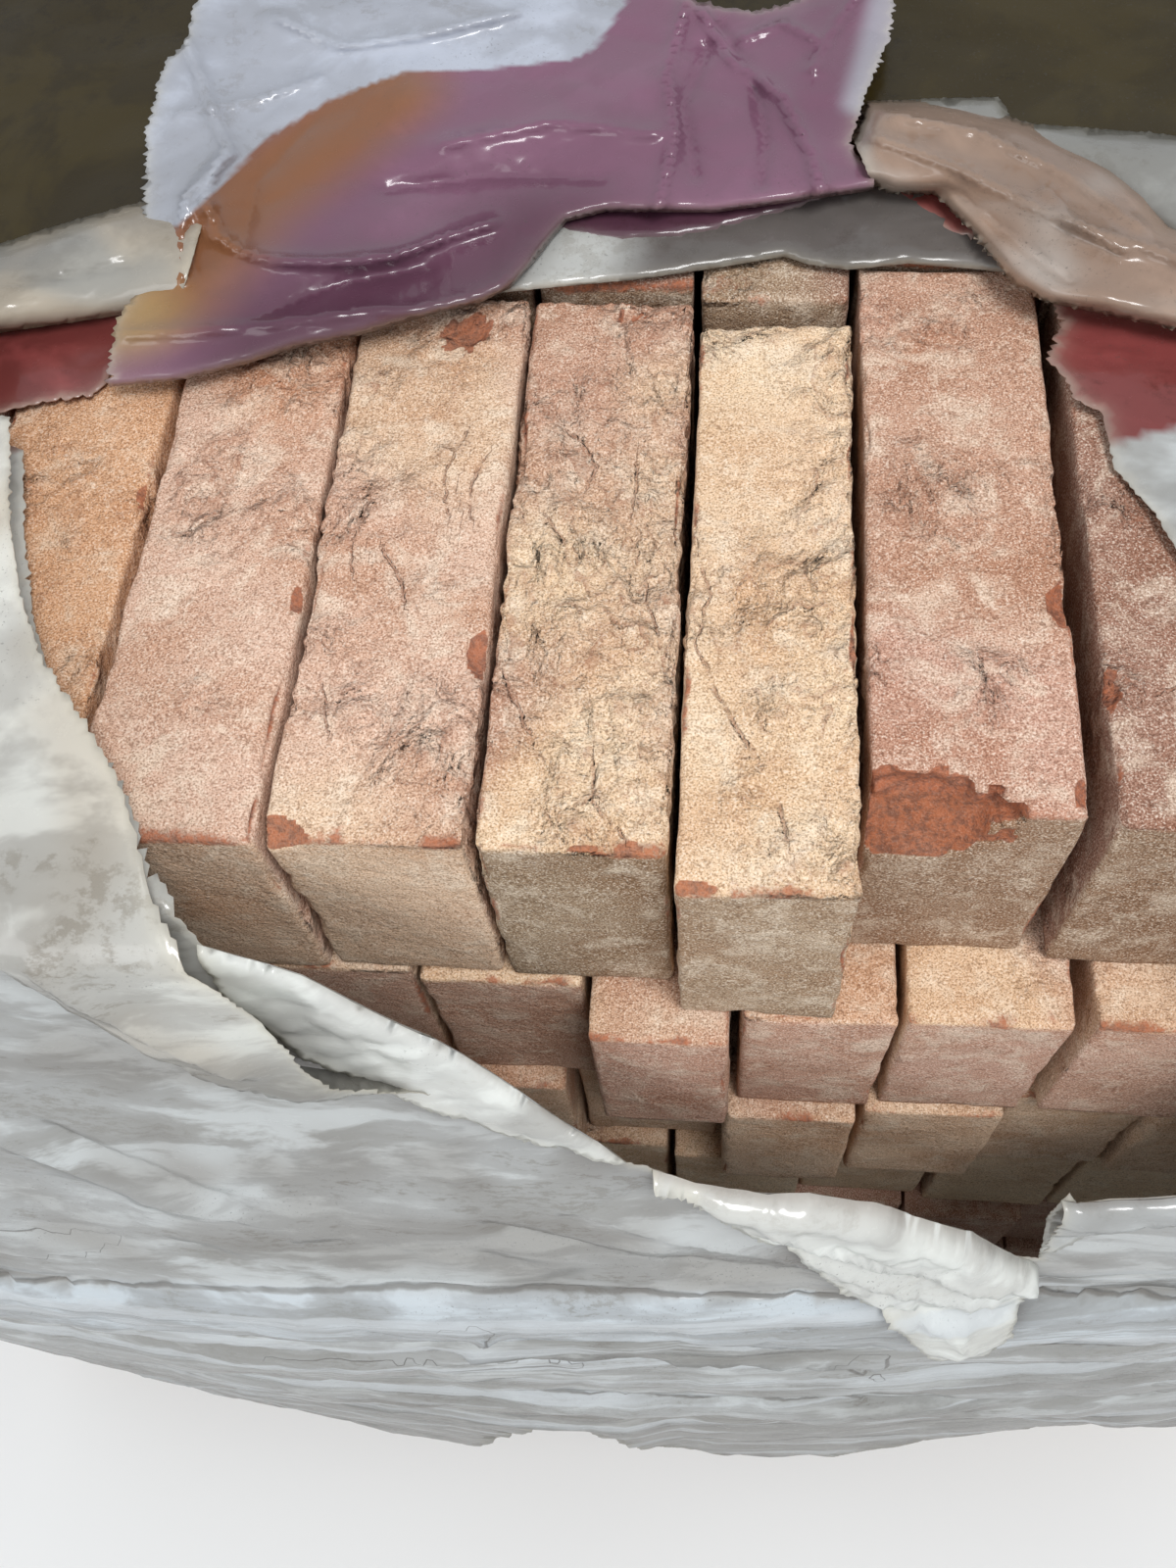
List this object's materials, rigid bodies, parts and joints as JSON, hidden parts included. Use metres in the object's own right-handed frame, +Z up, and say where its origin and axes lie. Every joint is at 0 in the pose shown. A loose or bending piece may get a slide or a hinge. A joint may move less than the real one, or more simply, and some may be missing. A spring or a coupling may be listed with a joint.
{
  "type": "pallet of bricks",
  "caption": "Handmade facing bricks stacked on edge on a timber pallet, under a film hood that is torn open over the top front edge.",
  "frame": {"origin": "middle of the pallet's underside, on the floor", "axes": "+Z up, -Y towards the torn side that shows the brick headers, +X to the right as seen from that side"},
  "size_m": [1, 1.0175, 0.9608],
  "materials": {
    "brick": "matt, sand-faced",
    "timber": "rough sawn",
    "film": "slightly glossy, dusty"
  },
  "bodies": {
    "root": {"brick_layer_1": "brick", "brick_layer_2": "brick", "brick_layer_3": "brick", "brick_layer_4": "brick", "brick_layer_5": "brick", "brick_layer_6": "brick", "brick_layer_7": "brick", "brick_layer_8": "brick", "bearer_1": "timber", "bearer_2": "timber", "bearer_3": "timber", "deck_board_1": "timber", "deck_board_2": "timber", "deck_board_3": "timber", "deck_board_4": "timber", "deck_board_5": "timber", "deck_board_6": "timber", "deck_board_7": "timber", "base_board_1": "timber", "base_board_2": "timber", "base_board_3": "timber", "film_hood": "film"}
  },
  "joints": []
}
